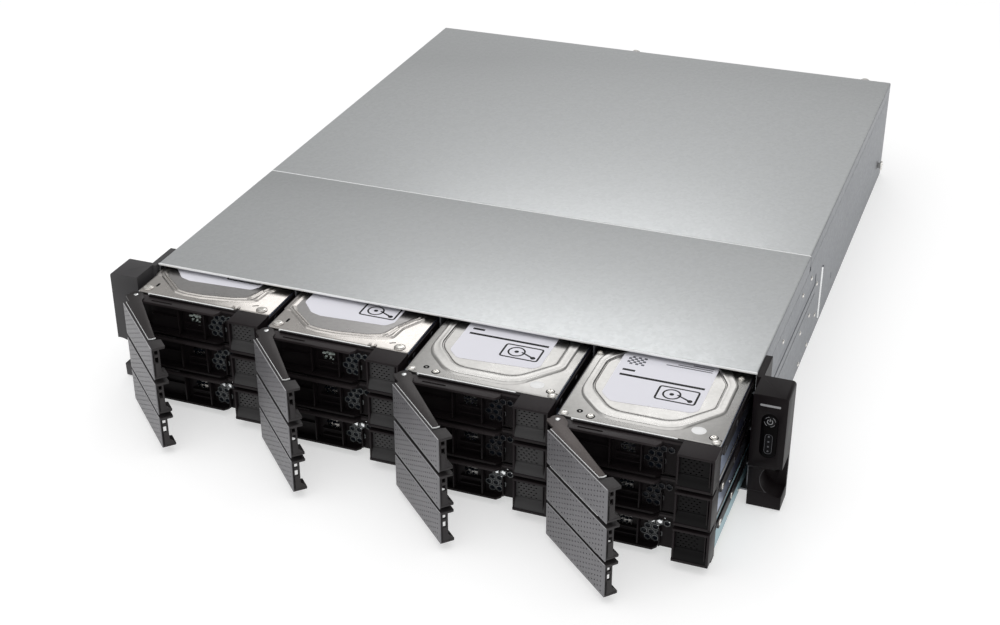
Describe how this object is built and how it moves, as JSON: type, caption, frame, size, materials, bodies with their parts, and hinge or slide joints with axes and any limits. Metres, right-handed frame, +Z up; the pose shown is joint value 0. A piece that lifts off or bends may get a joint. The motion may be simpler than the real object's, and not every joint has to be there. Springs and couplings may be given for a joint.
{
  "type": "rack-mount storage server",
  "caption": "Flat rack chassis with rack ears, a grid of slide-out hard drive trays with swing-out front levers, a two-piece top cover and rear power modules.",
  "frame": {"origin": "middle of the underside of the floor, on the rack plane that the ears' back faces lie on", "axes": "+X right seen from the front, +Y from the front to the rear, +Z up"},
  "size_m": [0.482, 0.7043, 0.0875],
  "materials": {
    "tray_plastic": "fine-grained black moulding",
    "door_plastic": "satin dark grey, finely perforated",
    "lever_metal": "dark bronze sheet",
    "drive_metal": "bead-blasted casting with a pressed lid, zinc-plated screws",
    "drive_label": "plain pale film label",
    "galvanised_steel": "galvanised sheet with fine grain",
    "circuit_board": "solder mask",
    "ear_plastic": "fine-grained black moulding",
    "button_plastic": "satin black",
    "panel_gloss": "gloss black",
    "light_lens": "smoked lens",
    "screw_steel": "zinc-plated steel",
    "fan_plastic": "black glass-filled plastic",
    "fin_aluminium": "extruded fins",
    "psu_steel": "galvanised sheet",
    "port_shell": "tinned shell",
    "black_trim": "black plastic"
  },
  "bodies": {
    "chassis": {"chassis_base": "galvanised_steel", "rear_panel": "galvanised_steel", "front_top_cover": "galvanised_steel", "drive_cage": "galvanised_steel", "backplane": "circuit_board", "left_ear": "ear_plastic", "right_ear": "ear_plastic", "status_panel": "panel_gloss", "status_lights": "light_lens", "side_fasteners": "screw_steel", "fan_frames": "fan_plastic", "mainboard": "circuit_board", "cpu_heatsink": "fin_aluminium", "memory_modules": "circuit_board", "rear_ports": "port_shell", "slot_covers": "galvanised_steel"},
    "tray_r1c1": {"tray_r1c1": "tray_plastic", "drive_r1c1": "drive_metal"},
    "tray_r1c2": {"tray_r1c2": "tray_plastic", "drive_r1c2": "drive_metal"},
    "tray_r1c3": {"tray_r1c3": "tray_plastic", "drive_r1c3": "drive_metal"},
    "tray_r1c4": {"tray_r1c4": "tray_plastic", "drive_r1c4": "drive_metal"},
    "tray_r2c1": {"tray_r2c1": "tray_plastic", "drive_r2c1": "drive_metal"},
    "tray_r2c2": {"tray_r2c2": "tray_plastic", "drive_r2c2": "drive_metal"},
    "tray_r2c3": {"tray_r2c3": "tray_plastic", "drive_r2c3": "drive_metal"},
    "tray_r2c4": {"tray_r2c4": "tray_plastic", "drive_r2c4": "drive_metal"},
    "tray_r3c1": {"tray_r3c1": "tray_plastic", "drive_r3c1": "drive_metal"},
    "tray_r3c2": {"tray_r3c2": "tray_plastic", "drive_r3c2": "drive_metal"},
    "tray_r3c3": {"tray_r3c3": "tray_plastic", "drive_r3c3": "drive_metal"},
    "tray_r3c4": {"tray_r3c4": "tray_plastic", "drive_r3c4": "drive_metal"},
    "lever_r1c1": {"lever_r1c1": "door_plastic"},
    "lever_r1c2": {"lever_r1c2": "door_plastic"},
    "lever_r1c3": {"lever_r1c3": "door_plastic"},
    "lever_r1c4": {"lever_r1c4": "door_plastic"},
    "lever_r2c1": {"lever_r2c1": "door_plastic"},
    "lever_r2c2": {"lever_r2c2": "door_plastic"},
    "lever_r2c3": {"lever_r2c3": "door_plastic"},
    "lever_r2c4": {"lever_r2c4": "door_plastic"},
    "lever_r3c1": {"lever_r3c1": "door_plastic"},
    "lever_r3c2": {"lever_r3c2": "door_plastic"},
    "lever_r3c3": {"lever_r3c3": "door_plastic"},
    "lever_r3c4": {"lever_r3c4": "door_plastic"},
    "rear_cover": {"rear_top_cover": "galvanised_steel"},
    "thumbscrew_middle": {"cover_thumbscrew_middle": "screw_steel"},
    "thumbscrew_right": {"cover_thumbscrew_right": "screw_steel"},
    "rotor_left": {"fan_rotor_left": "fan_plastic"},
    "rotor_right": {"fan_rotor_right": "fan_plastic"},
    "psu_lower": {"psu_lower": "psu_steel"},
    "psu_upper": {"psu_upper": "psu_steel"},
    "power_button": {"power_button": "button_plastic"}
  },
  "joints": [
    {"name": "tray_r1c1_slide", "type": "slide", "parent": "chassis", "child": "tray_r1c1", "axis": [0, -1, 0], "range_m": [-0.0315, 0.1385]},
    {"name": "tray_r1c2_slide", "type": "slide", "parent": "chassis", "child": "tray_r1c2", "axis": [0, -1, 0], "range_m": [-0.045, 0.125]},
    {"name": "tray_r1c3_slide", "type": "slide", "parent": "chassis", "child": "tray_r1c3", "axis": [0, -1, 0], "range_m": [-0.0645, 0.1055]},
    {"name": "tray_r1c4_slide", "type": "slide", "parent": "chassis", "child": "tray_r1c4", "axis": [0, -1, 0], "range_m": [-0.08, 0.09]},
    {"name": "tray_r2c1_slide", "type": "slide", "parent": "chassis", "child": "tray_r2c1", "axis": [0, -1, 0], "range_m": [-0.0315, 0.1385]},
    {"name": "tray_r2c2_slide", "type": "slide", "parent": "chassis", "child": "tray_r2c2", "axis": [0, -1, 0], "range_m": [-0.045, 0.125]},
    {"name": "tray_r2c3_slide", "type": "slide", "parent": "chassis", "child": "tray_r2c3", "axis": [0, -1, 0], "range_m": [-0.0645, 0.1055]},
    {"name": "tray_r2c4_slide", "type": "slide", "parent": "chassis", "child": "tray_r2c4", "axis": [0, -1, 0], "range_m": [-0.08, 0.09]},
    {"name": "tray_r3c1_slide", "type": "slide", "parent": "chassis", "child": "tray_r3c1", "axis": [0, -1, 0], "range_m": [-0.0315, 0.1385]},
    {"name": "tray_r3c2_slide", "type": "slide", "parent": "chassis", "child": "tray_r3c2", "axis": [0, -1, 0], "range_m": [-0.045, 0.125]},
    {"name": "tray_r3c3_slide", "type": "slide", "parent": "chassis", "child": "tray_r3c3", "axis": [0, -1, 0], "range_m": [-0.0645, 0.1055]},
    {"name": "tray_r3c4_slide", "type": "slide", "parent": "chassis", "child": "tray_r3c4", "axis": [0, -1, 0], "range_m": [-0.08, 0.09]},
    {"name": "lever_r1c1_hinge", "type": "hinge", "parent": "tray_r1c1", "child": "lever_r1c1", "pos_m": [-0.2107, -0.0388, 0.0706], "axis": [0, 0, -1], "range_deg": [-43.5, 0]},
    {"name": "lever_r1c2_hinge", "type": "hinge", "parent": "tray_r1c2", "child": "lever_r1c2", "pos_m": [-0.1027, -0.0523, 0.0706], "axis": [0, 0, -1], "range_deg": [-45.5, 0]},
    {"name": "lever_r1c3_hinge", "type": "hinge", "parent": "tray_r1c3", "child": "lever_r1c3", "pos_m": [0.0053, -0.0718, 0.0706], "axis": [0, 0, -1], "range_deg": [-43.5, 0]},
    {"name": "lever_r1c4_hinge", "type": "hinge", "parent": "tray_r1c4", "child": "lever_r1c4", "pos_m": [0.1133, -0.0873, 0.0706], "axis": [0, 0, -1], "range_deg": [-42, 0]},
    {"name": "lever_r2c1_hinge", "type": "hinge", "parent": "tray_r2c1", "child": "lever_r2c1", "pos_m": [-0.2107, -0.0388, 0.0438], "axis": [0, 0, -1], "range_deg": [-43.5, 0]},
    {"name": "lever_r2c2_hinge", "type": "hinge", "parent": "tray_r2c2", "child": "lever_r2c2", "pos_m": [-0.1027, -0.0523, 0.0438], "axis": [0, 0, -1], "range_deg": [-45.5, 0]},
    {"name": "lever_r2c3_hinge", "type": "hinge", "parent": "tray_r2c3", "child": "lever_r2c3", "pos_m": [0.0053, -0.0718, 0.0438], "axis": [0, 0, -1], "range_deg": [-43.5, 0]},
    {"name": "lever_r2c4_hinge", "type": "hinge", "parent": "tray_r2c4", "child": "lever_r2c4", "pos_m": [0.1133, -0.0873, 0.0438], "axis": [0, 0, -1], "range_deg": [-42, 0]},
    {"name": "lever_r3c1_hinge", "type": "hinge", "parent": "tray_r3c1", "child": "lever_r3c1", "pos_m": [-0.2107, -0.0388, 0.017], "axis": [0, 0, -1], "range_deg": [-43.5, 0]},
    {"name": "lever_r3c2_hinge", "type": "hinge", "parent": "tray_r3c2", "child": "lever_r3c2", "pos_m": [-0.1027, -0.0523, 0.017], "axis": [0, 0, -1], "range_deg": [-45.5, 0]},
    {"name": "lever_r3c3_hinge", "type": "hinge", "parent": "tray_r3c3", "child": "lever_r3c3", "pos_m": [0.0053, -0.0718, 0.017], "axis": [0, 0, -1], "range_deg": [-43.5, 0]},
    {"name": "lever_r3c4_hinge", "type": "hinge", "parent": "tray_r3c4", "child": "lever_r3c4", "pos_m": [0.1133, -0.0873, 0.017], "axis": [0, 0, -1], "range_deg": [-42, 0]},
    {"name": "rear_cover_slide", "type": "slide", "parent": "chassis", "child": "rear_cover", "axis": [0, 1, 0], "range_m": [0, 0.37]},
    {"name": "thumbscrew_middle_turn", "type": "hinge", "parent": "rear_cover", "child": "thumbscrew_middle", "pos_m": [-0.024, 0.537, 0.08], "axis": [0, 1, 0], "continuous": true},
    {"name": "thumbscrew_right_turn", "type": "hinge", "parent": "rear_cover", "child": "thumbscrew_right", "pos_m": [0.192, 0.537, 0.08], "axis": [0, 1, 0], "continuous": true},
    {"name": "rotor_left_spin", "type": "hinge", "parent": "chassis", "child": "rotor_left", "pos_m": [-0.1, 0.19, 0.043], "axis": [0, 1, 0], "continuous": true},
    {"name": "rotor_right_spin", "type": "hinge", "parent": "chassis", "child": "rotor_right", "pos_m": [0.1, 0.19, 0.043], "axis": [0, 1, 0], "continuous": true},
    {"name": "psu_lower_slide", "type": "slide", "parent": "chassis", "child": "psu_lower", "axis": [0, 1, 0], "range_m": [0, 0.2]},
    {"name": "psu_upper_slide", "type": "slide", "parent": "chassis", "child": "psu_upper", "axis": [0, 1, 0], "range_m": [0, 0.2]},
    {"name": "power_button_press", "type": "slide", "parent": "chassis", "child": "power_button", "axis": [0, 1, 0], "range_m": [0, 0.0012], "stiffness_N_per_m": 400}
  ]
}
